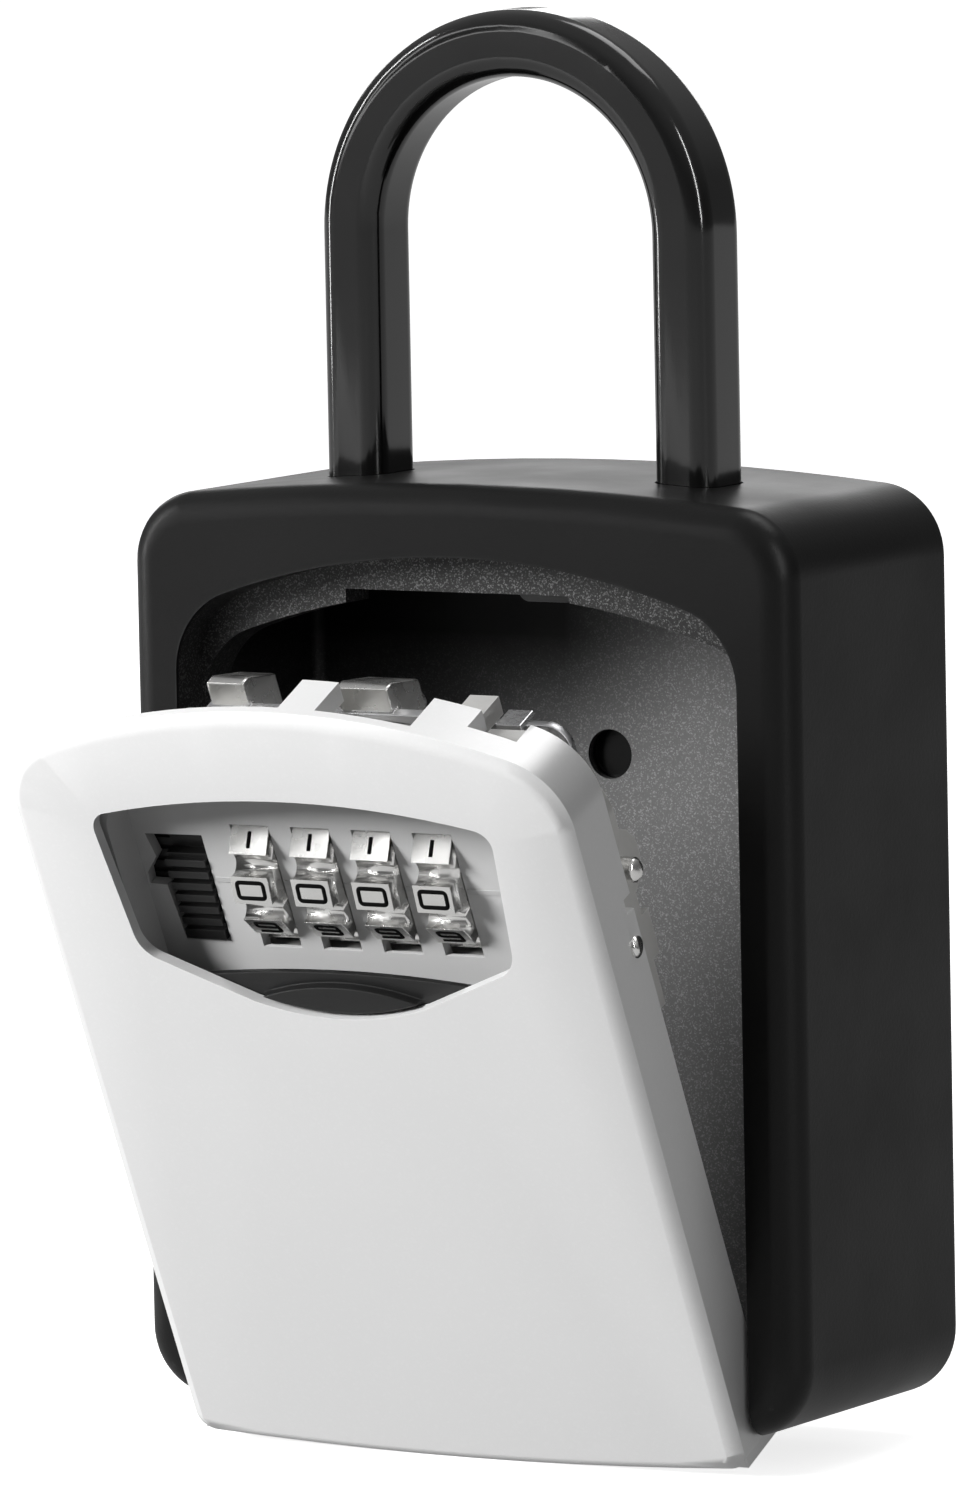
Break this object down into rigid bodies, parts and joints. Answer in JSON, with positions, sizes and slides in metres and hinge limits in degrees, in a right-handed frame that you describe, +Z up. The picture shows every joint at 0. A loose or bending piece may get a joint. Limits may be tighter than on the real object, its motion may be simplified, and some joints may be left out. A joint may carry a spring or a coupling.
{
  "type": "key lock box",
  "caption": "Wall or shackle mounted key lock box: thick black case, hinged silver door with combination dials, open slider and shutter, removable shackle",
  "frame": {"origin": "on the back face, midway between the two wall knock-outs", "axes": "+Z up towards the shackle, +Y back into the wall, door on the -Y side, +X to the right seen from the front"},
  "size_m": [0.09, 0.0835, 0.1709],
  "materials": {
    "case_black": "satin powder coat",
    "door_silver": "satin silver-white paint, bright bevel",
    "plate_grey": "matte grey",
    "frame_cast": "as cast, lightly tumbled",
    "steel_bright": "zinc plated",
    "bolt_chrome": "polished nickel",
    "wheel_chrome": "polished nickel with black numbers",
    "cam_brass": "turned",
    "black_plastic": "satin",
    "sleeve_black": "gloss moulded jacket",
    "bush_nylon": "natural nylon"
  },
  "bodies": {
    "case": {"case_shell": "case_black", "hinge_pin": "steel_bright", "lock_guide_screws": "steel_bright"},
    "shackle": {"shackle_core": "steel_bright", "shackle_sleeve": "sleeve_black"},
    "shackle_lock": {"shackle_lock_slide": "steel_bright"},
    "door": {"door_cover": "door_silver", "hinge_bush_left": "bush_nylon", "hinge_bush_right": "bush_nylon", "dial_plate": "plate_grey", "mechanism_frame": "frame_cast", "frame_screws": "steel_bright", "rear_cover": "steel_bright", "rear_cover_screws": "steel_bright", "dial_spindle": "bolt_chrome", "spindle_clip": "steel_bright", "detent_spring": "steel_bright", "latch_guide_screws": "steel_bright", "latch_spring": "steel_bright", "side_rivets": "bolt_chrome"},
    "latch": {"latch_plate": "steel_bright", "latch_bolt_left": "bolt_chrome", "latch_bolt_right": "bolt_chrome", "latch_rivets": "steel_bright", "open_knob": "black_plastic"},
    "shutter": {"shutter": "black_plastic"},
    "reset": {"reset_lever": "black_plastic"},
    "dial_1": {"dial_wheel_1": "wheel_chrome", "dial_cam_1": "cam_brass"},
    "dial_2": {"dial_wheel_2": "wheel_chrome", "dial_cam_2": "cam_brass"},
    "dial_3": {"dial_wheel_3": "wheel_chrome", "dial_cam_3": "cam_brass"},
    "dial_4": {"dial_wheel_4": "wheel_chrome", "dial_cam_4": "cam_brass"}
  },
  "joints": [
    {"name": "door_hinge", "type": "hinge", "parent": "case", "child": "door", "pos_m": [0, -0.033, -0.0465], "axis": [1, 0, 0], "range_deg": [-25.5, 64.5]},
    {"name": "shackle_lift", "type": "slide", "parent": "case", "child": "shackle", "axis": [0, 0, 1], "range_m": [0, 0.014]},
    {"name": "shackle_lock_slide", "type": "slide", "parent": "case", "child": "shackle_lock", "axis": [1, 0, 0], "range_m": [0, 0.004]},
    {"name": "latch_slide", "type": "slide", "parent": "door", "child": "latch", "axis": [0, -0.4305, 0.9026], "range_m": [0, 0.0024]},
    {"name": "shutter_slide", "type": "slide", "parent": "door", "child": "shutter", "axis": [0, -0.4305, 0.9026], "range_m": [0, 0.025]},
    {"name": "reset_slide", "type": "slide", "parent": "door", "child": "reset", "axis": [1, 0, 0], "range_m": [0, 0.003]},
    {"name": "dial_1_turn", "type": "hinge", "parent": "door", "child": "dial_1", "pos_m": [-0.0098, -0.06126, 0.01902], "axis": [1, 0, 0], "continuous": true},
    {"name": "dial_2_turn", "type": "hinge", "parent": "door", "child": "dial_2", "pos_m": [-0.0016, -0.06126, 0.01902], "axis": [1, 0, 0], "continuous": true},
    {"name": "dial_3_turn", "type": "hinge", "parent": "door", "child": "dial_3", "pos_m": [0.0066, -0.06126, 0.01902], "axis": [1, 0, 0], "continuous": true},
    {"name": "dial_4_turn", "type": "hinge", "parent": "door", "child": "dial_4", "pos_m": [0.0148, -0.06126, 0.01902], "axis": [1, 0, 0], "continuous": true}
  ]
}
